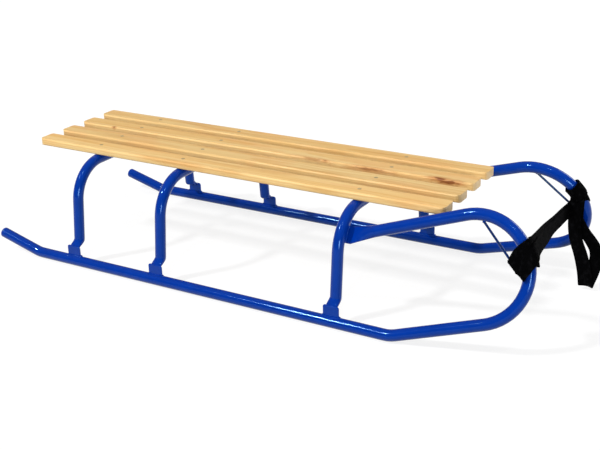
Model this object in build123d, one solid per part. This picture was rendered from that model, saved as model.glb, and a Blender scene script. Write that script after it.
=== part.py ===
from build123d import *
import os
from math import acos, atan2, cos, degrees, hypot, radians, sin, sqrt, tan

# A child's sled of bent steel tube with four wooden slats and a pull strap of webbing.
# X points forward, Y to the left, Z up. The origin is on the ground under the middle of the tube frame.
# Lengths are in millimetres and angles in degrees.

# Tube
TUBE_D = 20.0
TIP_ROUNDING = 4.0
WELD_GAP = 0.2

# Runners, from the tail to the front of the horn
RUNNER_SPACING = 400.0
RUNNER_LENGTH = 754.0
RUNNER_BEND_R = 60.0
TAIL_LENGTH = 97.0
TAIL_RISE = 15.2
FRONT_LENGTH = 160.0
FRONT_RISE = 17.6
FRONT_TOE_IN = 6.5
HORN_R = 86.5

# Flattened tube ends
FLAT_WIDTH = 30.0
FLAT_THICKNESS = 3.5
FLAT_EDGE = 1.1
FOOT_TOP = 40.0
FOOT_CORNER_R = 4.0
FOOT_PRESS = 36.0
FOOT_PRESS_WIDTH = 22.0
FOOT_NECK = 12.5
RETURN_NECK = 42.0
RETURN_PLATE = 30.0
RETURN_SEAT_ANGLE = 36.0

# Arches: the first two stand ahead of the rear bend of the runners, the front one behind the front bend
REAR_ARCH_AHEAD = 89.4
MIDDLE_ARCH_AHEAD = 282.8
FRONT_ARCH_BEHIND = 107.6
ARCH_BEND_R = 70.0
LEG_INSET = 18.0
LEG_LEAN = 5.8

# Slats
SEAT_HEIGHT = 211.5
SEAT_WIDTH = 229.0
SLAT_NAMES = ("right_outer", "right_inner", "left_inner", "left_outer")
SLAT_LENGTH = 859.0
SLAT_WIDTH = 40.0
SLAT_THICKNESS = 14.0
SLAT_FRONT_OVERHANG = 162.0
SLAT_CORNER_R = 9.0
SLAT_EDGE_R = 3.5
SLAT_GAP = 0.2

# Keeper rods, with the places of their ends as angles round the horn, from the line of the front tube
ROD_D = 4.0
ROD_TOP_ANGLE = 70.5
ROD_LOW_ANGLE = -18.6

# Strap: wound round each horn and its rod, drawn across, then folded into a hanging loop on the left
STRAP_WIDTH = 25.0
STRAP_THICKNESS = 2.0
STRAP_GAP = 0.3
RUN_SHARE = 0.45
WRAP_LAYERS = 2
WRAP_LOW_ANGLE = -17.0
WRAP_TOP_ANGLE = 25.0
WRAP_CORNER = 5.0
WRAP_BORE_SIDES = 12
RUN_LEAN = -20.0
RUN_ROUTE = ((520, -122, 178), (514, -40, 166), (507.5, 45, 155.5), (501, 133.5, 143))
LOOP_ROUTE = ((512, 127, 138), (513.5, 128.5, 110), (518.5, 129.5, 85), (527, 130, 62), (533, 129.5, 42),
              (536.5, 129.2, 27), (538.5, 129, 17), (539.7, 129, 9.5), (540.2, 134, 9), (541.5, 134.3, 16.5),
              (544, 134, 27), (548, 133.5, 42), (551.5, 133, 60), (550.5, 133.5, 78), (544, 134, 93),
              (534, 133, 106), (524, 131.5, 119), (516, 130, 133))

# Places that follow from the sizes
tube_r = TUBE_D / 2
runner_y = RUNNER_SPACING / 2
front_arch_ahead = RUNNER_LENGTH - FRONT_ARCH_BEHIND
arch_places = {"rear": REAR_ARCH_AHEAD, "middle": MIDDLE_ARCH_AHEAD, "front": front_arch_ahead}
arch_top = SEAT_HEIGHT - SLAT_THICKNESS - SLAT_GAP - tube_r


def direction(rise, toe_in):
    ahead = cos(radians(toe_in))
    return Vector(cos(radians(rise)) * ahead, sin(radians(toe_in)), sin(radians(rise)) * ahead)


def leg_y(z):
    return -runner_y + LEG_INSET + (z - FOOT_PRESS - FOOT_NECK) * tan(radians(LEG_LEAN))


# The frame is laid out from the rear bend of the right runner, then moved to its middle
rear_bend = Vector(0, -runner_y, tube_r)
tail_end = rear_bend - Vector(cos(radians(TAIL_RISE)), 0, -sin(radians(TAIL_RISE))) * TAIL_LENGTH
front_bend = rear_bend + Vector(RUNNER_LENGTH, 0, 0)
front_dir = direction(FRONT_RISE, FRONT_TOE_IN)

# The return's plate lies on the inner side of the front arch's bend
bend_z = arch_top - ARCH_BEND_R
bend_y = leg_y(bend_z) + ARCH_BEND_R / cos(radians(LEG_LEAN))
seat_r = sqrt((ARCH_BEND_R - tube_r - WELD_GAP) ** 2 - (FLAT_WIDTH / 2) ** 2) - FLAT_THICKNESS / 2
seat_y = bend_y - seat_r * cos(radians(RETURN_SEAT_ANGLE))
seat_z = bend_z + seat_r * sin(radians(RETURN_SEAT_ANGLE))
plate_start = Vector(arch_places["front"] + RETURN_PLATE / 2, seat_y, seat_z)

# The horn lies in the plane of the front tube and the plate
to_plate = plate_start - front_bend
horn_normal = front_dir.cross(to_plate).normalized()
horn_up = horn_normal.cross(front_dir)
plate_ahead = to_plate.dot(front_dir) - FRONT_LENGTH
plate_above = to_plate.dot(horn_up) - HORN_R
horn_end = degrees(atan2(plate_above, plate_ahead) - acos(HORN_R / hypot(plate_ahead, plate_above)))
horn_centre = front_bend + front_dir * FRONT_LENGTH + horn_up * HORN_R


def on_horn(angle, radius):
    return horn_centre + (front_dir * cos(radians(angle)) + horn_up * sin(radians(angle))) * radius


horn_start_point = on_horn(-90, HORN_R)
horn_end_point = on_horn(horn_end, HORN_R)
return_dir = (plate_start - horn_end_point).normalized()
return_end = plate_start - return_dir * RETURN_NECK


def flat_section(width):
    """The section of a tube pressed flat, long side along X."""
    plate = Rectangle(width, FLAT_THICKNESS)
    return chamfer(plate.vertices(), FLAT_EDGE)


def round_section(flat):
    """The section of the tube as arcs that each face one edge of a flat section."""
    corners = sorted(degrees(atan2(corner.Y, corner.X)) for corner in flat.vertices())
    following = corners[1:] + [corners[0] + 360]
    arcs = [CenterArc((0, 0), tube_r, start, end - start) for start, end in zip(corners, following)]
    return make_face(arcs)


def pressed_neck(round_plane, flat_plane, width):
    """The stretch of a tube between its round and its flat section."""
    flat = flat_section(width)
    return loft([round_plane * round_section(flat), flat_plane * flat])


def make_runner():
    path = FilletPolyline(tail_end, rear_bend, front_bend, horn_start_point, radius=RUNNER_BEND_R)
    path += ThreePointArc(horn_start_point, on_horn((horn_end - 90) / 2, HORN_R), horn_end_point)
    path += Line(horn_end_point, return_end)
    tube = sweep(Plane(tail_end, z_dir=path % 0) * Circle(tube_r), path=path)
    tip = tube.edges().sort_by(Axis.X)[0]
    tube = fillet(tip, TIP_ROUNDING)
    along_arch = Vector(0, sin(radians(RETURN_SEAT_ANGLE)), cos(radians(RETURN_SEAT_ANGLE)))
    neck_plane = Plane(return_end, x_dir=along_arch, z_dir=return_dir)
    plate_plane = Plane(plate_start, x_dir=along_arch, z_dir=(-1, 0, 0))
    plate = extrude(plate_plane * flat_section(FLAT_WIDTH), RETURN_PLATE, dir=plate_plane.z_dir)
    return tube + pressed_neck(neck_plane, plate_plane, FLAT_WIDTH) + plate


def make_foot(place, neck_plane):
    """A leg's end: pressed flat, with square shoulders beside the neck, and hollowed to sit on the runner."""
    press_plane = Plane((place, -runner_y, FOOT_PRESS), x_dir=(1, 0, 0), z_dir=(0, 0, -1))
    height = FOOT_TOP - tube_r
    outline = Rectangle(FLAT_WIDTH, height)
    outline = fillet(outline.vertices().group_by(Axis.Y)[-1], FOOT_CORNER_R)
    plate = extrude(Plane.XZ * outline, FLAT_THICKNESS / 2, both=True)
    plate = chamfer(plate.faces().filter_by(Axis.Y).edges(), FLAT_EDGE)
    foot = pressed_neck(neck_plane, press_plane, FOOT_PRESS_WIDTH)
    foot += Pos(place, -runner_y, tube_r + height / 2) * plate
    return foot - Pos(place, -runner_y, tube_r) * Rot(Y=90) * Cylinder(tube_r + WELD_GAP, 2 * FLAT_WIDTH)


def make_arch(place):
    """An inverted U across the sled, with a flattened foot on each runner."""
    leg_end = FOOT_PRESS + FOOT_NECK
    ankle = Vector(place, leg_y(leg_end), leg_end)
    corner = Vector(place, leg_y(arch_top), arch_top)
    far_corner = Vector(place, -corner.Y, arch_top)
    far_ankle = Vector(place, -ankle.Y, leg_end)
    path = FilletPolyline(ankle, corner, far_corner, far_ankle, radius=ARCH_BEND_R)
    leg_up = path % 0
    tube = sweep(Plane(ankle, z_dir=leg_up) * Circle(tube_r), path=path)
    foot = make_foot(place, Plane(ankle, x_dir=(1, 0, 0), z_dir=-leg_up))
    return tube + foot + mirror(foot, about=Plane.XZ)


def make_slat(centre_y):
    """A planed strip with rounded edges, cut to length and rounded at its corners."""
    front = arch_places["front"] + SLAT_FRONT_OVERHANG
    middle = Pos(front - SLAT_LENGTH / 2, centre_y, SEAT_HEIGHT - SLAT_THICKNESS / 2)
    strip = Plane.YZ * RectangleRounded(SLAT_WIDTH, SLAT_THICKNESS, SLAT_EDGE_R)
    outline = RectangleRounded(SLAT_LENGTH, SLAT_WIDTH, SLAT_CORNER_R)
    planed = extrude(strip, SLAT_LENGTH / 2, both=True)
    return middle * (planed & extrude(outline, SLAT_THICKNESS, both=True))


def horn_rod(radius):
    """The keeper rod as a plain cylinder that runs into the horn at both ends, in the horn's own plane."""
    inner_r = HORN_R - tube_r
    low = Vector(cos(radians(ROD_LOW_ANGLE)), sin(radians(ROD_LOW_ANGLE))) * inner_r
    top = Vector(cos(radians(ROD_TOP_ANGLE)), sin(radians(ROD_TOP_ANGLE))) * inner_r
    along = (top - low).normalized()
    length = (top - low).length + tube_r
    return Plane((low + top) / 2, z_dir=along) * Cylinder(radius, length)


def make_keeper_rod():
    return horn_plane * (horn_rod(ROD_D / 2) - Torus(HORN_R, tube_r + WELD_GAP))


def make_wrap():
    """The wound webbing as one sleeve round horn and rod."""
    wound = STRAP_GAP + WRAP_LAYERS * STRAP_THICKNESS
    rod_near = (HORN_R - tube_r) * cos(radians((ROD_TOP_ANGLE - ROD_LOW_ANGLE) / 2))
    inner_r = rod_near - ROD_D / 2 - wound
    outer_r = HORN_R + tube_r + wound
    section = chamfer(Rectangle(outer_r - inner_r, TUBE_D + 2 * wound).vertices(), WRAP_CORNER)
    section = Pos((inner_r + outer_r) / 2, 0) * section
    section -= Pos(HORN_R, 0) * RegularPolygon(tube_r + STRAP_GAP, WRAP_BORE_SIDES, major_radius=False)
    sleeve = Rot(Z=WRAP_LOW_ANGLE) * revolve(Plane.XZ * section, Axis.Z, WRAP_TOP_ANGLE - WRAP_LOW_ANGLE)
    return horn_plane * (sleeve - horn_rod(ROD_D / 2 + STRAP_GAP))


def cord_radii(points):
    """The radius of each bend of a strap's route: as large as the two runs beside it allow."""
    radii = []
    for before, corner, after in zip(points, points[1:], points[2:]):
        half_turn = (corner - before).get_angle(after - corner) / 2
        shorter = min((corner - before).length, (after - corner).length)
        radii.append(RUN_SHARE * shorter / tan(radians(half_turn)))
    return radii


def make_band(points, width_dir):
    """A flat strap along its route."""
    radii = cord_radii(points)
    print("strap bend radii", [round(radius, 1) for radius in radii])
    path = FilletPolyline(*points, radius=radii)
    section = Plane(points[0], x_dir=width_dir, z_dir=path % 0) * Rectangle(STRAP_WIDTH, STRAP_THICKNESS)
    return sweep(section, path=path)


horn_plane = Plane(horn_centre, x_dir=front_dir, z_dir=horn_normal)
right_runner = make_runner()
to_middle = Pos(-right_runner.bounding_box().center().X, 0, 0)
pieces = {}
paired = {"runner": right_runner, "keeper_rod": make_keeper_rod(), "strap_wrap": make_wrap()}
for name, solid in paired.items():
    pieces[name + "_right"] = to_middle * solid
    pieces[name + "_left"] = mirror(to_middle * solid, about=Plane.XZ)
for name, place in arch_places.items():
    pieces["arch_" + name] = to_middle * make_arch(place)
slat_pitch = (SEAT_WIDTH - SLAT_WIDTH) / (len(SLAT_NAMES) - 1)
for number, name in enumerate(SLAT_NAMES):
    pieces["slat_" + name] = to_middle * make_slat(-SEAT_WIDTH / 2 + SLAT_WIDTH / 2 + number * slat_pitch)

run_width_dir = Vector(sin(radians(RUN_LEAN)), 0, cos(radians(RUN_LEAN)))
run = make_band([Vector(*point) for point in RUN_ROUTE], run_width_dir)
loop = make_band([Vector(*point) for point in LOOP_ROUTE], Vector(1, 0, 0))
pieces["strap_run"] = run - pieces["strap_wrap_right"] - pieces["strap_wrap_left"]
pieces["strap_loop"] = loop - pieces["strap_wrap_left"] - pieces["strap_run"]

os.makedirs("parts", exist_ok=True)
for node, solid in pieces.items():
    export_step(solid, f"parts/{node}.step")
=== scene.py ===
"""The looks of a steel-tube sled: gloss blue paint, varnished pine slats, and a pull strap of black webbing.

Lengths are in metres and angles in degrees. X points forward, Y to the left, Z up.
"""

import math
import random

import bpy
import numpy as np
from mathutils import Matrix, Vector


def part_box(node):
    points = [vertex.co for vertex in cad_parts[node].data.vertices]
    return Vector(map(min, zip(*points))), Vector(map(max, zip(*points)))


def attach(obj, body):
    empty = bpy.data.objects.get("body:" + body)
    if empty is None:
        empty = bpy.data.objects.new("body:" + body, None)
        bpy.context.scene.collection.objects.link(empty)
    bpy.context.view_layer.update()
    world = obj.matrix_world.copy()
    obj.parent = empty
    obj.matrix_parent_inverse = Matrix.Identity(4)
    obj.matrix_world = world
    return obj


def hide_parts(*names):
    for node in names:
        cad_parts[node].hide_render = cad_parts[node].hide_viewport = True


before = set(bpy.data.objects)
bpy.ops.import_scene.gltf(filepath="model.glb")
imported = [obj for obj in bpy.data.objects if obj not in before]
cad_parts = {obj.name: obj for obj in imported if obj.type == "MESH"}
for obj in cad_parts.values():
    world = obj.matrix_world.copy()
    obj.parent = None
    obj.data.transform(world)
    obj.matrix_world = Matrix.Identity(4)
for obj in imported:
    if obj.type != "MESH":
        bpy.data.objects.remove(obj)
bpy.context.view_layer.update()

# Camera, with its lens in millimetres
CAMERA_TARGET = Vector((0.0256, 0.0, 0.0920))
CAMERA_DISTANCE = 1.9643
CAMERA_AZIMUTH = 30.64
CAMERA_ELEVATION = 21.64
CAMERA_ROLL = -1.46
CAMERA_LENS = 62.92
CAMERA_SHIFT = (0.0068, -0.0109)

# Light and floor
WORLD_LOW = 0.12
WORLD_TOP = 0.40
# Columns: name, energy, direction, width
LAMPS = (("side_lamp", 1.85, (-0.440, -0.530, 0.725), 5.0),
         ("top_lamp", 0.35, (0.20, -0.45, 0.87), 4.0),
         ("front_lamp", 1.45, (0.67, -0.725, 0.15), 20.0),
         ("back_lamp", 0.80, (0.35, 0.85, 0.40), 30.0))
FLOOR_REACH = 40.0
FLOOR_GREY = 0.24
FLOOR_ROUGHNESS = 0.9
FLOOR_GLOW = 0.81

# Paint, with a deep and a bright blue for the tubes, and darker blues with painted shade for the rods
TUBE_BLUES = ((0.0003, 0.028, 0.28, 1), (0.0007, 0.042, 0.38, 1))
ROD_BLUES_PAINTED_SHADE = ((0.003, 0.016, 0.10, 1), (0.005, 0.024, 0.14, 1))
PAINT_GLOSS = 0.36
PAINT_GLOSS_TINT = (0.30, 0.62, 1.0, 1)
PAINT_ROUGHNESS = (0.06, 0.10)
PAINT_RIPPLE_DEPTH = 0.00012

# Wood
PINE_PALE = (0.94, 0.67, 0.300)
PINE_WARM = (0.86, 0.520, 0.175)
PINE_PEACH = (0.90, 0.500, 0.190)
PINE_DARK = (0.66, 0.325, 0.080)
PINE_GLOSS = 0.25
PINE_ROUGHNESS = (0.36, 0.5)
# End grain, coloured paler than the wood as painted light on the slats' ends
END_GRAIN_WITH_PAINTED_LIGHT = (1.0, 0.75, 0.42, 1)
KNOT_BROWN = (0.25, 0.075, 0.016, 1)
KNOT_STAIN = (0.52, 0.185, 0.045, 1)
KNOT_PUSH = 0.007
RING_WIDTH = 0.0042
RING_WANDER = 0.016
GRAIN_DEPTH = 0.00022
# How far the grain is moved along a slat for each metre across the sled, so that no two slats are alike
GRAIN_SHIFT = 40
# Columns: place, half length, half width, strength
LEFT_INNER_KNOTS = (((0.308, 0.0132, 0.2110), 0.013, 0.0042, 1.0),
                    ((0.323, 0.0116, 0.2080), 0.016, 0.0042, 0.9),
                    ((0.172, 0.0116, 0.2080), 0.026, 0.0034, 0.6),
                    ((0.083, 0.0120, 0.2115), 0.006, 0.0026, 0.8),
                    ((0.056, 0.0126, 0.2105), 0.024, 0.0040, 0.45),
                    ((-0.406, 0.0115, 0.2105), 0.003, 0.0024, 0.9))
# Columns: pith as y and z from the slat's middle, tone, knots
PLANKS = {"slat_right_outer": ((0.012, -0.050), 1.05, ()),
          "slat_right_inner": ((-0.010, 0.048), 0.96, ()),
          "slat_left_inner": ((0.006, 0.055), 0.99, LEFT_INNER_KNOTS),
          "slat_left_outer": ((-0.014, -0.044), 0.96, ())}

# Webbing and zinc
# Blacks of the webbing: the deeper one is painted shade in the hollows of the weave, the paler one is on its
# ridges
WEBBING_BLACKS_WITH_PAINTED_SHADE = ((0.0003, 0.0003, 0.0004, 1), (0.0018, 0.0018, 0.0022, 1))
WEBBING_WORN = (0.0060, 0.0060, 0.0070, 1)
WEBBING_GLOSS = 0.015
WEBBING_ROUGHNESS = (0.62, 0.85)
RIDGE_WIDTH = 0.0021
FLOAT_LENGTH = 0.0030
WEAVE_DEPTH = 0.00035
ZINC_TONES = ((0.42, 0.31, 0.16, 1), (0.60, 0.46, 0.26, 1))
ZINC_METAL = 0.4
ZINC_ROUGHNESS = (0.32, 0.5)
ZINC_DEPTH = 0.00005

# Tube frame
TUBE_RADIUS = 0.010
RUNNER_Y = 0.200
FOOT_WIDTH = 0.030
FOOT_THICKNESS = 0.0035
ARCH_BEND_RADIUS = 0.070
LEG_INSET = 0.018
LEG_LEAN = 5.8
LEG_START = 0.0485
RETURN_SEAT_ANGLE = 36.0
ARCHES = ("arch_rear", "arch_middle", "arch_front")
ARCH_X = [(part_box(arch)[0][0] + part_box(arch)[1][0]) / 2 for arch in ARCHES]
ARCH_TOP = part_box("arch_rear")[1][2] - TUBE_RADIUS
SEAT_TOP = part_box("slat_right_outer")[1][2]

# Heels of the legs
HEEL_RADIUS = 0.0098
HEEL_OVERLAP = 0.004
HEEL_START = 0.0455
HEEL_DEPTH = 0.0105
HEEL_STEP = 0.0145
HEEL_LEVELS = 13

# Horns, as on the left side; the right one is its mirror image
HORN_CENTRE = (0.4383, 0.1543, 0.1352)
HORN_RADIUS = 0.0865
HORN_RISE = 17.6
HORN_TOE_IN = 6.5
HORN_LEAN = 19.8
ROD_RADIUS = 0.002
ROD_TOP_ANGLE = 70.5
ROD_LOW_ANGLE = -18.6

# Strap
STRAP_WIDTH = 0.025
STRAP_THICKNESS = 0.0013
STRAP_LAYER = 0.0014
STRAP_SLACK = 0.0003
STRAP_UV = "strap"
# Places across the strap as shares of half its width, and its thickness there as a share of the full one
STRAP_BREADTHS = (-1, -0.96, -0.84, -0.6, -0.3, 0, 0.3, 0.6, 0.84, 0.96, 1)
STRAP_SWELL = (0.3, 0.8, 1.1, 1, 1, 1, 1, 1, 1.1, 0.8, 0.3)

# Free lengths of the strap: control points of each route, and directions of the width along it
RUN_ROUTE = ((0.524, -0.120, 0.177), (0.514, -0.040, 0.167),
             (0.5075, 0.045, 0.1575), (0.501, 0.1335, 0.144))
UPPER_ROUTE = ((0.521, -0.118, 0.185), (0.512, -0.040, 0.1725),
               (0.506, 0.045, 0.1625), (0.500, 0.1335, 0.149))
RUN_WIDTHS = ((-0.3, 0.1, 0.95), (-0.05, 0.1, 1.0), (-0.1, 0.1, 0.98))
LOOP_START = ((0.5125, 0.1335, 0.174), (0.513, 0.1288, 0.160))
LOOP_ROUTE = ((0.512, 0.127, 0.138), (0.5130, 0.1285, 0.112), (0.5180, 0.1295, 0.090),
              (0.527, 0.130, 0.068), (0.5335, 0.1295, 0.046), (0.537, 0.1292, 0.029),
              (0.5385, 0.129, 0.018), (0.5395, 0.129, 0.0095), (0.5402, 0.134, 0.009),
              (0.542, 0.1343, 0.0165), (0.546, 0.134, 0.028), (0.5505, 0.1335, 0.044),
              (0.5545, 0.133, 0.061), (0.5525, 0.1335, 0.079), (0.5425, 0.134, 0.094),
              (0.531, 0.133, 0.1075), (0.522, 0.1315, 0.1205), (0.515, 0.130, 0.135))
LOOP_END = ((0.514, 0.1305, 0.150), (0.5135, 0.1355, 0.174))
LOOP_WIDTHS = ((0.983, -0.18, 0.0), (0.983, -0.18, 0.0), (0.995, 0.10, 0.0),
               (0.983, -0.18, 0.0), (0.983, -0.18, 0.0))
# Curl of the edges, and the square of the breadth where it crosses the flat
RUN_CUP = 0.0006
LOOP_CUP = 0.0003
CUP_LEVEL = 0.4
# Slow sway from edge to edge, with its length in metres a radian
SWAY = 0.0005
SWAY_LENGTH = 0.019

# Turns of the strap round the horns, a quarter turn to a knot. Columns: angle, layer, reach, width
NEAR_TURNS = ((12, 0, 1, 1), (4.5, 0.2, 1, 1), (-0.5, 0.4, 1, 0.64),
              (5, 0.6, 1, 0.9), (1.0, 2.2, 1, 1), (5.5, 1.4, 1, 1),
              (-4.5, 1.5, 1, 0.75), (9, 2.0, 1, 0.95), (14.5, 2.2, 1, 1))
NEAR_END_TURNS = ((-28, 3.0, 1, 0.74), (-7, 3.1, 1, 0.86), (8, 3.3, 1, 1), (12, 3.4, 1, 1))
NEAR_END_SPAN = (0.52, 1.95)
FAR_TURNS = ((-9, 0.4, 1, 0.8), (0, 0.3, 0.8, 1), (9.5, 0.3, 0.3, 1), (11, 0.5, 0, 1),
             (11.5, 0.8, 0, 1), (13, 1.0, 0, 1), (15, 1.2, 0, 1), (16, 1.4, 0, 1),
             (16.5, 1.7, 0, 1), (16.5, 2.0, 0, 1), (17, 2.2, 0, 1), (16, 2.4, 0, 1), (14.5, 2.6, 0, 1))
# Turns from the front of the tube at which each of these starts
NEAR_STARTS = 2.0
NEAR_END_STARTS = 0.5
FAR_STARTS = 0.5
# Angle and layer at which each strand leaves the near horn, and the shares of a turn that start it
RUN_LEAVES = (8, 3.4)
UPPER_LEAVES = (14.5, 2.3)
LEAVING_SHARES = (0.06, 0.0)
ROWS_A_KNOT = 16
# Small step, in knots and in turns, over which slopes are measured
PROBE = 0.02
# Lift of the edges and pleats, with waves in radians a knot along the strap and a half width across it
EDGE_LIFT = 0.0005
EDGE_WAVE = 5.3
EDGE_SKEW = 2.0
LOWEST_LIFT = -0.0002
PLEAT_DEPTH = 0.06
PLEAT_WAVE = 9

# Screws, with the turns of their crosses in radians
SCREW_RADIUS = 0.0036
SCREW_RISE = 0.0006
SCREW_PROUD = 0.0001
SCREW_SUNK = 0.0008
SCREW_RINGS = (0, 0.06, 0.12, 0.18, 0.25, 0.33, 0.42, 0.5, 0.56, 0.6, 0.66, 0.8, 0.93, 1)
SCREW_FIRST_TURN = 0.4
SCREW_TURN_AN_ARCH = 1.1
SCREW_TURN_A_METRE = 9
CROSS_LENGTH = 0.0021
CROSS_WIDTH = 0.0006
CROSS_DEPTH = 0.0008
CROSS_SIDE_SLOPE = 2.5
CROSS_TIP_SLOPE = 3

# Welds
FOOT_BEAD = 0.0018
FOOT_BEAD_GAP = 0.0004
FOOT_STEPS = 5
RETURN_BEAD = 0.0022
RETURN_BEAD_SINK = 0.0022
RETURN_BEAD_ASIDE = 0.0072
RETURN_BEAD_ARC = 14
RETURN_STEPS = 16
ROD_BEAD = 0.0011
ROD_BEAD_RING = 0.0024
ROD_BEAD_INSET = 1.0
ROD_BEAD_LIFT = 0.0002
ROD_STEPS = 16
BEAD_STEP = 0.0004
BEAD_FEWEST_STEPS = 8
BEAD_RIPPLE = 0.0023
BEAD_LUMP = 0.28
# Columns: share of the radius, metres a radian, phases
BEAD_SWELLS = ((0.12, 0.006, 1), (0.06, 0.0031, 2))
BEAD_TAPER = 0.8
BEAD_END = 0.25
# A direction that no bead follows
BEAD_ASIDE = (0.31, 0.52, 0.79)

# Points round a bead, and round a screw or a leg
BEAD_SEGMENTS = 12
ROUND_SEGMENTS = 48

# Guards against dividing by nothing
SMALLEST_LENGTH = 1e-12
SMALLEST_GAP = 1e-6


# Shaders


class Shader:
    """One material and short ways to add nodes to it."""

    def __init__(self, name):
        self.material = bpy.data.materials.new(name)
        self.material.use_nodes = True
        self.tree = self.material.node_tree
        self.surface = self.tree.nodes["Principled BSDF"]
        self.place = self.node("TexCoord").outputs["Object"]

    def put(self, socket, value):
        """Sets any socket, or links another socket to it."""
        if isinstance(value, bpy.types.NodeSocket):
            self.tree.links.new(value, socket)
        else:
            socket.default_value = value

    def give(self, name, value):
        """Sets or links a socket of the surface."""
        self.put(self.surface.inputs[name], value)

    def node(self, kind, sockets=None, **settings):
        """A new node of a kind, with values or links for its sockets."""
        made = self.tree.nodes.new("ShaderNode" + kind)
        for key, value in settings.items():
            setattr(made, key, value)
        for key, value in (sockets or {}).items():
            self.put(made.inputs[key], value)
        return made

    def math(self, operation, *values):
        return self.node("Math", dict(enumerate(values)), operation=operation).outputs[0]

    def vector(self, operation, *values):
        made = self.node("VectorMath", dict(enumerate(values)), operation=operation)
        return made.outputs["Value" if operation == "LENGTH" else "Vector"]

    def noise(self, scale, detail=2.0, stretch=(1, 1, 1), place=None):
        """Noise whose scale, times the stretch along x, y and z, is in features a metre."""
        place = self.vector("MULTIPLY", place or self.place, stretch)
        return self.node("TexNoise", {"Vector": place, "Scale": scale, "Detail": detail}).outputs["Fac"]

    def ease(self, value, low, high, first=0.0, last=1.0):
        """A smooth change from first to last while the value goes from low to high."""
        sockets = {"Value": value, "From Min": low, "From Max": high, "To Min": first, "To Max": last}
        return self.node("MapRange", sockets, interpolation_type="SMOOTHSTEP").outputs[0]

    def mix(self, share, first, second):
        return self.node("Mix", {0: share, 6: first, 7: second}, data_type="RGBA").outputs[2]

    def bump(self, height, distance, strength=1.0):
        sockets = {"Height": height, "Distance": distance, "Strength": strength}
        self.give("Normal", self.node("Bump", sockets).outputs[0])


def paint(name, deep, bright):
    """Gloss enamel with the fine ripple of a sprayed coat."""
    shader = Shader(name)
    cloud = shader.noise(38.0, 3.0)
    haze = shader.noise(90.0)
    ripple = shader.noise(420.0, 1.0)
    shader.give("Base Color", shader.mix(cloud, deep, bright))
    shader.give("Specular IOR Level", PAINT_GLOSS)
    shader.give("Specular Tint", PAINT_GLOSS_TINT)
    shader.give("Roughness", shader.ease(haze, 0.3, 0.7, *PAINT_ROUGHNESS))
    shader.bump(ripple, PAINT_RIPPLE_DEPTH, 0.35)
    return shader.material


def knot_marks(shader, knots, radius):
    """Shares of knot and of stain, and the radius of the growth rings where they bend round the knots."""
    core, stain = 0.0, 0.0
    frayed = shader.noise(1.0, 4.0, (80.0, 300.0, 300.0))
    for place, half_length, half_width, strength in knots:
        stretch = (1 / half_length, 1 / half_width, 1 / half_width)
        away = shader.vector("MULTIPLY", shader.vector("SUBTRACT", shader.place, place), stretch)
        away = shader.vector("LENGTH", away)
        ragged = shader.math("MULTIPLY_ADD", frayed, 2.4, away)
        core = shader.math("MAXIMUM", core, shader.ease(ragged, 2.3, 1.6, 0.0, strength))
        stain = shader.math("MAXIMUM", stain, shader.ease(ragged, 4.2, 1.8, 0.0, 0.75 * strength))
        radius = shader.math("ADD", radius, shader.ease(away, 3.2, 0.0, 0.0, KNOT_PUSH))
    return core, stain, radius


def clear_wood(shader, tone, moved, late, fibre):
    """The colour of pine away from its knots: streaks, patches, heartwood, late wood and fibres."""
    shades = (PINE_PALE, PINE_WARM, PINE_PEACH, PINE_DARK)
    pale, warm, peach, dark = (tuple(channel * tone for channel in shade) + (1,) for shade in shades)
    streak = shader.noise(1.0, 2.0, (2.2, 50.0, 50.0), moved)
    patch = shader.noise(1.0, 3.0, (8.0, 34.0, 34.0), shader.vector("ADD", moved, (3, 0, 0)))
    heart = shader.noise(1.0, 3.0, (4.5, 55.0, 55.0), shader.vector("ADD", moved, (7, 0, 0)))
    colour = shader.mix(shader.ease(streak, 0.3, 0.78, 0.0, 0.9), pale, warm)
    colour = shader.mix(shader.ease(patch, 0.46, 0.66, 0.0, 0.5), colour, peach)
    colour = shader.mix(shader.ease(heart, 0.52, 0.72, 0.0, 0.55), colour, dark)
    colour = shader.mix(shader.math("MULTIPLY", late, 0.27), colour, dark)
    return shader.mix(shader.ease(fibre, 0.55, 0.8, 0.0, 0.16), colour, dark)


def pine(slat, pith, tone, knots):
    """Varnished pine. The growth rings lie round the pith, given as y and z from the slat's middle."""
    shader = Shader("pine_" + slat)
    low, high = (Vector(corner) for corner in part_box(slat))
    middle = (low + high) / 2
    moved = shader.vector("ADD", shader.place, (middle.y * GRAIN_SHIFT, 0, 0))
    wander = shader.noise(1.0, 2.0, (3.0, 16.0, 16.0), moved)
    radius = shader.vector("SUBTRACT", shader.place, (0, middle.y + pith[0], middle.z + pith[1]))
    radius = shader.vector("LENGTH", shader.vector("MULTIPLY", radius, (0, 1, 1)))
    radius = shader.math("MULTIPLY_ADD", wander, RING_WANDER, radius)
    if knots:
        core, stain, radius = knot_marks(shader, knots, radius)
    ring = shader.math("FRACT", shader.math("MULTIPLY", radius, 1 / RING_WIDTH))
    late = shader.math("MULTIPLY", shader.ease(ring, 0.35, 0.9), shader.ease(ring, 1.0, 0.9))
    fibre = shader.noise(1.0, 3.0, (9.0, 900.0, 900.0))
    colour = clear_wood(shader, tone, moved, late, fibre)
    if knots:
        colour = shader.mix(stain, colour, KNOT_STAIN)
        colour = shader.mix(core, colour, KNOT_BROWN)
    # Faces towards the ends take the end-grain colour, made pale as painted light
    facing = shader.node("SeparateXYZ", {0: shader.node("NewGeometry").outputs["Normal"]}).outputs[0]
    end_grain_light_share = shader.ease(shader.math("ABSOLUTE", facing), 0.6, 0.9, 0.0, 0.75)
    shader.give("Base Color", shader.mix(end_grain_light_share, colour, END_GRAIN_WITH_PAINTED_LIGHT))
    shader.give("Roughness", shader.ease(late, 0.0, 1.0, *PINE_ROUGHNESS))
    shader.give("Specular IOR Level", PINE_GLOSS)
    height = shader.math("MULTIPLY_ADD", fibre, 0.5, shader.math("MULTIPLY", late, 0.6))
    shader.bump(height, GRAIN_DEPTH, 0.6)
    return shader.material


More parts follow.
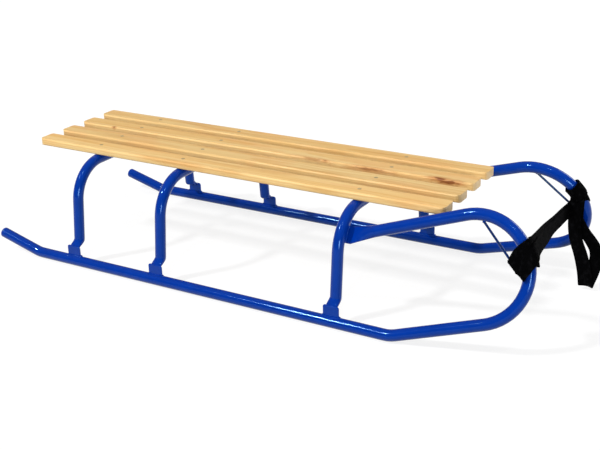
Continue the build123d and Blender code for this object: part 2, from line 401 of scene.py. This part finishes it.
def webbing():
    """Black webbing: rows of warp ridges crossed by the weft, on the strap's own coordinates."""
    shader = Shader("black_webbing")
    place = shader.node("UVMap", uv_map=STRAP_UV).outputs[0]
    across, along = shader.node("SeparateXYZ", {0: place}).outputs[:2]
    ridge = shader.math("MULTIPLY", across, 1 / RIDGE_WIDTH)
    # An even number is added to the count of ridges to keep it above zero
    count = shader.math("ADD", shader.math("FLOOR", ridge), 100.0)
    odd = shader.math("ROUND", shader.math("MODULO", count, 2.0))
    crown = shader.math("SINE", shader.math("MULTIPLY", shader.math("FRACT", ridge), math.pi))
    offset = shader.math("MULTIPLY", odd, math.pi)
    step = shader.math("MULTIPLY_ADD", along, 2 * math.pi / FLOAT_LENGTH, offset)
    float_height = shader.math("MULTIPLY_ADD", shader.math("SINE", step), 0.5, 0.5)
    height = shader.math("MULTIPLY", crown, shader.math("MULTIPLY_ADD", float_height, 0.7, 0.3))
    fluff = shader.noise(900.0, 2.0)
    height = shader.math("MULTIPLY_ADD", fluff, 0.25, height)
    worn = shader.ease(shader.noise(130.0, 3.0), 0.48, 0.72, 0.0, 0.7)
    # The colour is darker where the weave is low, as painted shade in its hollows
    shader.give("Base Color", shader.mix(worn, shader.mix(height, *WEBBING_BLACKS_WITH_PAINTED_SHADE), WEBBING_WORN))
    shader.give("Roughness", shader.ease(fluff, 0.2, 0.8, *WEBBING_ROUGHNESS))
    shader.give("Specular IOR Level", WEBBING_GLOSS)
    shader.bump(height, WEAVE_DEPTH, 0.9)
    return shader.material


def zinc():
    """Dull plated steel of the screws."""
    shader = Shader("dull_zinc")
    cloud = shader.noise(700.0, 3.0)
    shader.give("Base Color", shader.mix(cloud, *ZINC_TONES))
    shader.give("Metallic", ZINC_METAL)
    shader.give("Roughness", shader.ease(cloud, 0.3, 0.7, *ZINC_ROUGHNESS))
    shader.bump(shader.noise(1500.0, 1.0), ZINC_DEPTH, 0.4)
    return shader.material


# Meshes


def add_mesh(name, points, faces, material, uvs=None):
    """A mesh object with smooth faces, and one uv pair for each point if given."""
    mesh = bpy.data.meshes.new(name)
    mesh.from_pydata([tuple(point) for point in points], [], faces)
    mesh.polygons.foreach_set("use_smooth", [True] * len(mesh.polygons))
    if uvs is not None:
        layer = mesh.uv_layers.new(name=STRAP_UV)
        for loop in mesh.loops:
            layer.data[loop.index].uv = uvs[loop.vertex_index]
    mesh.materials.append(material)
    obj = bpy.data.objects.new(name, mesh)
    bpy.context.scene.collection.objects.link(obj)
    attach(obj, "root")
    return obj


def circle(segments):
    """Points spread evenly round a circle of radius 1."""
    turns = [2 * math.pi * segment / segments for segment in range(segments)]
    return [(math.cos(turn), math.sin(turn)) for turn in turns]


def ring_faces(rings, segments, closed=False, flipped=False, first=0):
    """Faces between rings of points that lie one after another, with as many points in each."""
    faces = []
    for ring in range(rings if closed else rings - 1):
        here = first + ring * segments
        ahead = first + (ring + 1) % rings * segments
        for segment in range(segments):
            one, other = segment, (segment + 1) % segments
            if flipped:
                one, other = other, one
            faces.append((here + one, here + other, ahead + other, ahead + one))
    return faces


def unit(rows):
    """Each row divided by its length."""
    return rows / np.maximum(np.linalg.norm(rows, axis=-1, keepdims=True), SMALLEST_LENGTH)


def distances(line):
    """How far along a line each of its points is."""
    return np.concatenate([[0], np.cumsum(np.linalg.norm(np.diff(line, axis=0), axis=1))])


def smooth_values(knots, places):
    """Values at the given places on a smooth curve through evenly spaced knots."""
    knots = np.array(knots, float)
    places = np.array(places, float)
    index = np.clip(np.floor(places).astype(int), 0, len(knots) - 2)
    share = (places - index).reshape((-1,) + (1,) * (knots.ndim - 1))
    slopes = np.gradient(knots, axis=0)
    rise = share * share * (3 - 2 * share)
    start_pull = share * (1 - share) ** 2
    end_pull = share * share * (share - 1)
    return (knots[index] * (1 - rise) + knots[index + 1] * rise
            + slopes[index] * start_pull + slopes[index + 1] * end_pull)


def side_name(side):
    return "left" if side > 0 else "right"


# Strap


class Horn:
    """The plane of one horn, and the line that webbing takes round its tube and the keeper rod."""

    def __init__(self, side):
        rise, toe, lean = (math.radians(angle) for angle in (HORN_RISE, HORN_TOE_IN, HORN_LEAN))
        self.centre = np.array((HORN_CENTRE[0], side * HORN_CENTRE[1], HORN_CENTRE[2]))
        ahead = (math.cos(rise) * math.cos(toe), -side * math.sin(toe), math.sin(rise) * math.cos(toe))
        self.ahead = np.array(ahead)
        outward = np.array((0.0, side * math.cos(lean), math.sin(lean)))
        self.outward = unit(outward - self.ahead * outward.dot(self.ahead))
        self.up = side * np.cross(self.ahead, self.outward)

    def point(self, angle, radius, out=0.0):
        """A place given by its angle and radius in the horn's plane, and how far out of it."""
        turn = math.radians(angle)
        spoke = self.ahead * math.cos(turn) + self.up * math.sin(turn)
        return self.centre + spoke * radius + self.outward * out

    def upward(self, angle):
        """The direction along the tube, away from the ground."""
        turn = math.radians(angle)
        return self.up * math.cos(turn) - self.ahead * math.sin(turn)

    def rod_radius(self, angle):
        """How far the rod is from the horn's centre at an angle."""
        middle = (ROD_TOP_ANGLE + ROD_LOW_ANGLE) / 2
        half_angle = math.radians((ROD_TOP_ANGLE - ROD_LOW_ANGLE) / 2)
        nearest = (HORN_RADIUS - TUBE_RADIUS) * math.cos(half_angle)
        return nearest / math.cos(math.radians(angle - middle))

    def wound(self, angle, share, gap, reach):
        """A place on a turn of webbing.

        The share of the turn is 0 at the front of the tube, 0.25 on its outer side and 0.5 at the rod.
        With a reach of 0, the webbing stays on the tube and doesn't take in the rod.
        """
        tube, rod = TUBE_RADIUS + gap, ROD_RADIUS + gap
        apart = max(reach * (HORN_RADIUS - self.rod_radius(angle)), tube - rod + SMALLEST_GAP)
        tangent = math.acos(-(tube - rod) / apart)
        straight = apart * math.sin(tangent)
        half_turn = tube * tangent + straight + rod * (math.pi - tangent)
        way = share % 1.0
        gone = min(way, 1 - way) * 2 * half_turn
        if gone < tube * tangent:
            radius = HORN_RADIUS + tube * math.cos(gone / tube)
            out = tube * math.sin(gone / tube)
        elif gone < tube * tangent + straight:
            along = gone - tube * tangent
            radius = HORN_RADIUS + tube * math.cos(tangent) - along * math.sin(tangent)
            out = tube * math.sin(tangent) + along * math.cos(tangent)
        else:
            turn = tangent + (gone - tube * tangent - straight) / rod
            radius = HORN_RADIUS - apart + rod * math.cos(turn)
            out = rod * math.sin(turn)
        return self.point(angle, radius, out if way < 0.5 else -out)

    def pace(self, angle, share, gap, reach):
        """How far webbing goes at the pace of one whole turn, and for one degree along the horn."""
        behind = self.wound(angle, share - PROBE, gap, reach)
        ahead = self.wound(angle, share + PROBE, gap, reach)
        here = self.wound(angle, share, gap, reach)
        aside = self.wound(angle + 1, share, gap, reach)
        return np.linalg.norm(ahead - behind) / (2 * PROBE), np.linalg.norm(aside - here)


def layer_gap(layer):
    """From the tube to the middle of the webbing in a layer."""
    return STRAP_SLACK + STRAP_THICKNESS / 2 + STRAP_LAYER * layer


def band(name, grid):
    """Webbing whose middle surface passes through a grid of points: rows along it, columns across."""
    grid = np.array(grid, float)
    rows, columns = grid.shape[:2]
    normal = unit(np.cross(np.gradient(grid, axis=0), np.gradient(grid, axis=1)))
    offset = normal * (np.array(STRAP_SWELL) * STRAP_THICKNESS / 2)[None, :, None]
    points = np.concatenate([grid + offset, (grid - offset)[:, ::-1]], axis=1).reshape(-1, 3)
    breadths = [breadth * STRAP_WIDTH / 2 for breadth in STRAP_BREADTHS]
    run = distances(grid[:, columns // 2])
    uvs = [(across, along) for along in run for across in breadths + breadths[::-1]]
    ring = 2 * columns
    last = (rows - 1) * ring
    faces = ring_faces(rows, ring)
    for column in range(columns - 1):
        corners = (column, column + 1, ring - 2 - column, ring - 1 - column)
        faces.append(corners[::-1])
        faces.append(tuple(last + corner for corner in corners))
    return add_mesh(name, points, faces, WEBBING, uvs)


def wound_band(name, horn, knots, first_share, span):
    """Webbing wound round a horn.

    Each knot is a quarter turn: the strap's angle round the horn, its layer, how far it takes in the rod, and
    its share of the full width. The span is the part of the knots that is there.
    """
    places = np.linspace(*span, round((span[1] - span[0]) * ROWS_A_KNOT) + 1)
    grid = []
    for place, (angle, layer, reach, width) in zip(places, smooth_values(knots, places)):
        share = first_share - place / 4
        gap = layer_gap(layer)
        reach = min(max(reach, 0.0), 1.0)
        per_turn, per_degree = horn.pace(angle, share, gap, reach)
        start, end = max(place - PROBE, span[0]), min(place + PROBE, span[1])
        before, after = smooth_values(knots, (start, end))[:, 0]
        climb = (after - before) / (end - start) * per_degree
        slope = math.atan2(climb, per_turn / 4)
        row = []
        for breadth in STRAP_BREADTHS:
            aside = breadth * width * STRAP_WIDTH / 2
            pleat = PLEAT_DEPTH * (1 - width) * STRAP_WIDTH * math.sin(PLEAT_WAVE * breadth)
            lift = EDGE_LIFT * breadth**2 * math.sin(EDGE_WAVE * place + EDGE_SKEW * breadth) + pleat
            row.append(horn.wound(angle + aside * math.cos(slope) / per_degree,
                                  share + aside * math.sin(slope) / per_turn,
                                  gap + max(lift, LOWEST_LIFT), reach))
        grid.append(row)
    return band(name, grid)


def spline_points(route):
    """Points along a smooth curve that has the route's points as its control points."""
    curve = bpy.data.curves.new("route", "CURVE")
    curve.dimensions = "3D"
    curve.resolution_u = 12
    spline = curve.splines.new("NURBS")
    spline.points.add(len(route) - 1)
    for point, place in zip(spline.points, route):
        point.co = (*place, 1.0)
    spline.order_u = 3
    spline.use_endpoint_u = True
    holder = bpy.data.objects.new("route", curve)
    mesh = bpy.data.meshes.new_from_object(holder)
    points = np.array([vertex.co for vertex in mesh.vertices], float)
    bpy.data.meshes.remove(mesh)
    bpy.data.objects.remove(holder)
    bpy.data.curves.remove(curve)
    return points


def flat_band(name, line, width_directions, cup):
    """Webbing along a line, with the directions of its width spread evenly along it."""
    run = distances(line)
    directions = smooth_values(width_directions, run / run[-1] * (len(width_directions) - 1))
    tangents = unit(np.gradient(line, axis=0))
    directions = unit(directions - tangents * (directions * tangents).sum(1, keepdims=True))
    normals = np.cross(tangents, directions)
    breadths = np.array(STRAP_BREADTHS)
    sway = SWAY * np.sin(run / SWAY_LENGTH)[:, None] * breadths[None, :]
    rise = sway + cup * (breadths[None, :] ** 2 - CUP_LEVEL)
    grid = line[:, None] + directions[:, None] * (breadths * STRAP_WIDTH / 2)[None, :, None]
    return band(name, grid + normals[:, None] * rise[:, :, None])


def leaving(horn, angle, layer):
    """The first points of a strand that leaves the front of a wound horn."""
    return [tuple(horn.wound(angle, share, layer_gap(layer), 1)) for share in LEAVING_SHARES]


def add_strap():
    """The wound bands, the two strands from horn to horn, and the loop that hangs from the left horn."""
    right, left = Horn(-1), Horn(1)
    near_span, far_span = (0, len(NEAR_TURNS) - 1), (0, len(FAR_TURNS) - 1)
    near_wrap = wound_band("strap_wound_right", right, NEAR_TURNS, NEAR_STARTS, near_span)
    near_end = wound_band("strap_end_right", right, NEAR_END_TURNS, NEAR_END_STARTS, NEAR_END_SPAN)
    far_wrap = wound_band("strap_wound_left", left, FAR_TURNS, FAR_STARTS, far_span)

    run_line = spline_points((*leaving(right, *RUN_LEAVES), *RUN_ROUTE))
    run_widths = (right.upward(RUN_LEAVES[0]), *RUN_WIDTHS)
    strap_run = flat_band("strap_run_webbing", run_line, run_widths, RUN_CUP)
    upper_line = spline_points((*leaving(right, *UPPER_LEAVES), *UPPER_ROUTE))
    upper_widths = (right.upward(UPPER_LEAVES[0]), *RUN_WIDTHS)
    upper_run = flat_band("strap_run_upper", upper_line, upper_widths, RUN_CUP)
    loop_line = spline_points((*LOOP_START, *LOOP_ROUTE))
    strap_loop = flat_band("strap_loop_webbing", loop_line, LOOP_WIDTHS, LOOP_CUP)
    loop_end_line = spline_points((LOOP_ROUTE[-1], *LOOP_END))
    loop_end = flat_band("strap_loop_end", loop_end_line, LOOP_WIDTHS[-2:], LOOP_CUP)

    for piece, node in ((near_wrap, "strap_wrap_right"), (far_wrap, "strap_wrap_left"),
                        (strap_run, "strap_run"), (strap_loop, "strap_loop")):
        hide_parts(node)


# Screws


def screw_height(across, along):
    """The height of a screw's domed head over its rim, with the cross sunk into it."""
    height = SCREW_RISE * (1 - (across**2 + along**2) / SCREW_RADIUS**2)
    slot = min(abs(across), abs(along)) / CROSS_WIDTH
    reach = max(abs(across), abs(along)) / CROSS_LENGTH
    if slot < 1 and reach < 1:
        side_share = min(1, CROSS_SIDE_SLOPE * (1 - slot))
        tip_share = min(1, CROSS_TIP_SLOPE * (1 - reach))
        height -= CROSS_DEPTH * side_share * tip_share
    return height


def add_screws(slat):
    """Three raised countersunk screws with cross recesses, one over each arch."""
    centre_y = (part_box(slat)[0][1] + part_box(slat)[1][1]) / 2
    points, faces = [], []
    for number, x in enumerate(ARCH_X):
        turn = SCREW_FIRST_TURN + SCREW_TURN_AN_ARCH * number + SCREW_TURN_A_METRE * centre_y
        first = len(points)
        head = []
        for share in SCREW_RINGS:
            for cosine, sine in circle(ROUND_SEGMENTS):
                across, along = SCREW_RADIUS * share * cosine, SCREW_RADIUS * share * sine
                head.append((across, along, SCREW_PROUD + screw_height(across, along)))
        for cosine, sine in circle(ROUND_SEGMENTS):
            head.append((SCREW_RADIUS * cosine, SCREW_RADIUS * sine, -SCREW_SUNK))
        for across, along, height in head:
            points.append((x + across * math.cos(turn) - along * math.sin(turn),
                           centre_y + across * math.sin(turn) + along * math.cos(turn),
                           SEAT_TOP + height))
        faces += ring_faces(len(SCREW_RINGS) + 1, ROUND_SEGMENTS, flipped=True, first=first)
        faces.append(tuple(range(len(points) - 1, len(points) - 1 - ROUND_SEGMENTS, -1)))
    add_mesh("screws_" + slat, points, faces, ZINC)


# Welds and heels


def bead_widths(places, length, radius, closed, phase):
    """The radius of a weld bead along its length: drops, slower swells, and tapered ends if it has ends."""
    drops = 1 + BEAD_LUMP * np.abs(np.sin(places * math.pi / BEAD_RIPPLE + phase))
    swells = 1
    for share, wave, phases in BEAD_SWELLS:
        swells = swells + share * np.sin(places / wave + phases * phase)
    widths = radius * drops * swells
    if closed:
        return widths
    from_end = np.minimum(places, length - places)
    return widths * np.minimum(1, from_end / radius * BEAD_TAPER + BEAD_END)


def bead(name, line, radius, closed=False, seed=1):
    """A weld bead along a line, rippled as each drop of metal set on the one before."""
    draw = random.Random(seed)
    line = np.array(line, float)
    if closed:
        line = np.concatenate([line, line[:1]])
    run = distances(line)
    length = run[-1]
    steps = max(int(length / BEAD_STEP), BEAD_FEWEST_STEPS)
    places = np.linspace(0, length, steps + 1)[:-1 if closed else None]
    centres = np.stack([np.interp(places, run, line[:, axis]) for axis in range(3)], axis=1)
    if closed:
        tangents = unit(np.roll(centres, -1, 0) - np.roll(centres, 1, 0))
    else:
        tangents = unit(np.gradient(centres, axis=0))
    aside = unit(np.cross(tangents, BEAD_ASIDE))
    above = np.cross(tangents, aside)
    widths = bead_widths(places, length, radius, closed, draw.uniform(0, 6))
    points = []
    for row, width in enumerate(widths):
        for cosine, sine in circle(BEAD_SEGMENTS):
            points.append(centres[row] + (aside[row] * cosine + above[row] * sine) * width)
    faces = ring_faces(len(widths), BEAD_SEGMENTS, closed)
    if not closed:
        faces.append(tuple(range(BEAD_SEGMENTS))[::-1])
        faces.append(tuple(range(len(points) - BEAD_SEGMENTS, len(points))))
    piece = add_mesh(name, points, faces, PAINT)


def add_foot_weld(arch, x, side):
    """A bead all round the flat foot, on the round top of the runner."""
    half, out = FOOT_WIDTH / 2, FOOT_THICKNESS / 2 + FOOT_BEAD_GAP
    corners = np.array([(-half, -out), (half, -out), (half, out), (-half, out)])
    line = []
    for start, end in zip(corners, np.roll(corners, -1, 0)):
        for share in np.linspace(0, 1, FOOT_STEPS, endpoint=False):
            along, across = start * (1 - share) + end * share
            height = TUBE_RADIUS + math.sqrt(TUBE_RADIUS**2 - across**2)
            line.append((x + along, side * RUNNER_Y + across, height))
    bead(f"foot_weld_{arch}_{side_name(side)}", line, FOOT_BEAD, True, seed=len(arch) + side)


def add_leg_heel(arch, x, side):
    """The rounded end of a leg where its tube is pressed flat for the foot."""
    lean = math.tan(math.radians(LEG_LEAN))
    # Columns: height, step towards the foot, thickness as a share of the tube's
    levels = [(LEG_START + HEEL_OVERLAP, 0.0, 1.0)]
    for share in np.linspace(0, 1, HEEL_LEVELS, endpoint=False):
        narrowing = math.cos(share * math.pi / 2)
        levels.append((HEEL_START - HEEL_DEPTH * share, HEEL_STEP * (1 - narrowing), narrowing))
    points = []
    for z, step, thickness in levels:
        y = side * (RUNNER_Y - LEG_INSET - (z - LEG_START) * lean + step)
        for cosine, sine in circle(ROUND_SEGMENTS):
            points.append((x + HEEL_RADIUS * cosine, y + HEEL_RADIUS * thickness * sine, z))
    top = tuple(range(ROUND_SEGMENTS))
    bottom = tuple(range(len(points) - 1, len(points) - 1 - ROUND_SEGMENTS, -1))
    faces = [top, bottom] + ring_faces(len(levels), ROUND_SEGMENTS, flipped=True)
    heel = add_mesh(f"leg_heel_{arch}_{side_name(side)}", points, faces, PAINT)


def add_return_welds(side):
    """Beads on both sides of the front arch where the flat end of the runner's return lies in its bend."""
    lean = math.radians(LEG_LEAN)
    bend_z = ARCH_TOP - ARCH_BEND_RADIUS
    leg_y = RUNNER_Y - LEG_INSET - (bend_z - LEG_START) * math.tan(lean)
    bend_y = leg_y - ARCH_BEND_RADIUS / math.cos(lean)
    radius = ARCH_BEND_RADIUS - TUBE_RADIUS + RETURN_BEAD_SINK
    first, last = RETURN_SEAT_ANGLE - RETURN_BEAD_ARC, RETURN_SEAT_ANGLE + RETURN_BEAD_ARC
    front_x = ARCH_X[ARCHES.index("arch_front")]
    for number, step in enumerate((-1, 1)):
        line = []
        for angle in np.linspace(first, last, RETURN_STEPS):
            turn = math.radians(angle)
            line.append((front_x + step * RETURN_BEAD_ASIDE,
                         side * (bend_y + radius * math.cos(turn)),
                         bend_z + radius * math.sin(turn)))
        bead(f"return_weld_{side_name(side)}_{number}", line, RETURN_BEAD, False, seed=20 + number)


def add_rod_welds(side):
    """A small ring of weld at each end of the keeper rod."""
    horn = Horn(side)
    low, top = (horn.point(end, HORN_RADIUS - TUBE_RADIUS) for end in (ROD_LOW_ANGLE, ROD_TOP_ANGLE))
    aside = np.cross(unit(top - low), horn.outward)
    ends = (("low", ROD_LOW_ANGLE + ROD_BEAD_INSET), ("top", ROD_TOP_ANGLE - ROD_BEAD_INSET))
    for label, angle in ends:
        centre = horn.point(angle, HORN_RADIUS - TUBE_RADIUS - ROD_BEAD_LIFT)
        line = []
        for cosine, sine in circle(ROD_STEPS):
            line.append(centre + (horn.outward * cosine + aside * sine) * ROD_BEAD_RING)
        bead(f"rod_weld_{side_name(side)}_{label}", line, ROD_BEAD, True, seed=40 + side)


# Floor, light and camera


def add_floor():
    """A floor that looks white, keeps the sled's shadow, and is clear from below."""
    shader = Shader("floor")
    corners = [(x * FLOOR_REACH, y * FLOOR_REACH, 0) for x, y in ((-1, -1), (1, -1), (1, 1), (-1, 1))]
    floor = add_mesh("floor", corners, [(0, 1, 2, 3)], shader.material)
    shader.give("Base Color", (FLOOR_GREY, FLOOR_GREY, FLOOR_GREY, 1))
    shader.give("Roughness", FLOOR_ROUGHNESS)
    shader.give("Specular IOR Level", 0.0)
    rays = shader.node("LightPath").outputs
    seen = shader.math("MAXIMUM", rays["Is Camera Ray"], rays["Is Glossy Ray"])
    seen = shader.math("MAXIMUM", seen, rays["Is Transmission Ray"])
    glow = shader.node("Emission", {"Strength": shader.math("MULTIPLY", seen, FLOOR_GLOW)}).outputs[0]
    both = shader.node("AddShader", {0: shader.surface.outputs[0], 1: glow}).outputs[0]
    behind = shader.node("NewGeometry").outputs["Backfacing"]
    clear = shader.node("BsdfTransparent").outputs[0]
    shown = shader.node("MixShader", {0: behind, 1: both, 2: clear}).outputs[0]
    shader.put(shader.tree.nodes["Material Output"].inputs["Surface"], shown)


def add_lamp(name, energy, towards, width):
    """A lamp far away in the given direction, as wide as the given angle."""
    lamp = bpy.data.lights.new(name, "SUN")
    lamp.energy = energy
    lamp.angle = math.radians(width)
    obj = bpy.data.objects.new(name, lamp)
    obj.rotation_euler = (-Vector(towards)).to_track_quat("-Z", "Y").to_euler()
    bpy.context.scene.collection.objects.link(obj)


def add_light():
    """A white world that is brighter overhead, and the lamps."""
    world = bpy.data.worlds.new("studio")
    world.use_nodes = True
    tree = world.node_tree
    background = tree.nodes["Background"].inputs
    background["Color"].default_value = (1, 1, 1, 1)
    direction = tree.nodes.new("ShaderNodeSeparateXYZ")
    tree.links.new(tree.nodes.new("ShaderNodeTexCoord").outputs["Generated"], direction.inputs[0])
    ceiling = tree.nodes.new("ShaderNodeMapRange")
    for socket, value in (("From Min", 0.0), ("From Max", 1.0), ("To Min", WORLD_LOW), ("To Max", WORLD_TOP)):
        ceiling.inputs[socket].default_value = value
    tree.links.new(direction.outputs[2], ceiling.inputs["Value"])
    tree.links.new(ceiling.outputs[0], background["Strength"])
    bpy.context.scene.world = world
    for lamp in LAMPS:
        add_lamp(*lamp)


def add_camera():
    """A camera that looks at the target from a little above, rolled slightly."""
    angles = (CAMERA_AZIMUTH, CAMERA_ELEVATION, CAMERA_ROLL)
    azimuth, elevation, roll = (math.radians(angle) for angle in angles)
    level = math.cos(elevation)
    back = Vector((math.sin(azimuth) * level, -math.cos(azimuth) * level, math.sin(elevation)))
    across = Vector((0, 0, 1)).cross(back).normalized()
    right = across * math.cos(roll) + back.cross(across) * math.sin(roll)
    camera = bpy.data.cameras.new("camera")
    camera.lens = CAMERA_LENS
    camera.shift_x, camera.shift_y = CAMERA_SHIFT
    obj = bpy.data.objects.new("camera", camera)
    turn = Matrix((right, back.cross(right), back)).transposed()
    obj.matrix_world = Matrix.Translation(CAMERA_TARGET + back * CAMERA_DISTANCE) @ turn.to_4x4()
    bpy.context.scene.collection.objects.link(obj)
    bpy.context.scene.camera = obj


# Build

PAINT = paint("gloss_blue_paint", *TUBE_BLUES)
# The rods have the tubes' blue paint, darkened here as painted shade
ROD_PAINT_PAINTED_SHADE = paint("blue_paint_with_painted_shade", *ROD_BLUES_PAINTED_SHADE)
WEBBING = webbing()
ZINC = zinc()


def node_material(node):
    """The material of one CAD node."""
    if node in PLANKS:
        return pine(node, *PLANKS[node])
    if node.startswith("strap"):
        return WEBBING
    # Keeper rods get the blue paint with painted shade
    if node.startswith("keeper_rod"):
        return ROD_PAINT_PAINTED_SHADE
    return PAINT


for node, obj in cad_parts.items():
    obj.data.materials.clear()
    obj.data.materials.append(node_material(node))

add_strap()
for slat in PLANKS:
    add_screws(slat)
for arch, x in zip(ARCHES, ARCH_X):
    for side in (-1, 1):
        add_foot_weld(arch, x, side)
        add_leg_heel(arch, x, side)
for side in (-1, 1):
    add_return_welds(side)
    add_rod_welds(side)
add_floor()
add_light()
add_camera()
bpy.context.scene.view_settings.view_transform = "Standard"
